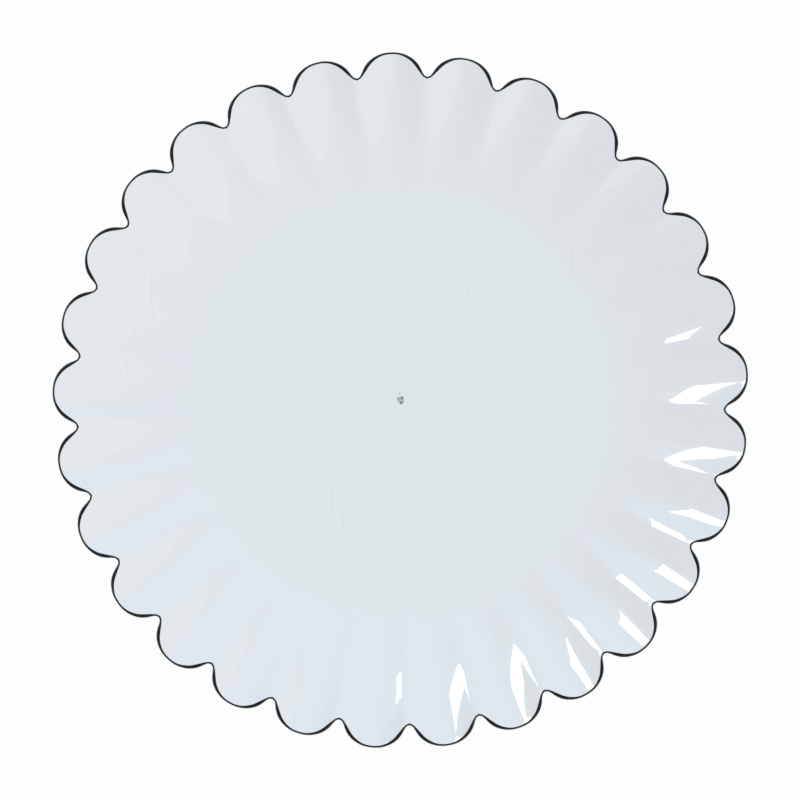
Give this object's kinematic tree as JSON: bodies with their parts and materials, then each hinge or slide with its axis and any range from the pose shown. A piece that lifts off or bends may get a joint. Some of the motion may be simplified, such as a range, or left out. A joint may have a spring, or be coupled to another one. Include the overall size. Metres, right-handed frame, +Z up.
{
  "type": "dessert plate",
  "caption": "Shallow round dessert plate in clear plastic, its rim fluted into concave petals with rounded ridges between them and a thin black band along the scalloped edge.",
  "frame": {"origin": "on the plate's axis, in the plane of the underside of the floor", "axes": "+Z up along the plate's axis, +X through the middle of one petal"},
  "size_m": [0.1895, 0.1898, 0.0105],
  "materials": {
    "clear_plastic": "clear, moulded to a polish, very faintly blue-grey",
    "black_band": "gloss black"
  },
  "bodies": {
    "root": {"plate_body": "clear_plastic", "rim_band": "black_band"}
  },
  "joints": []
}
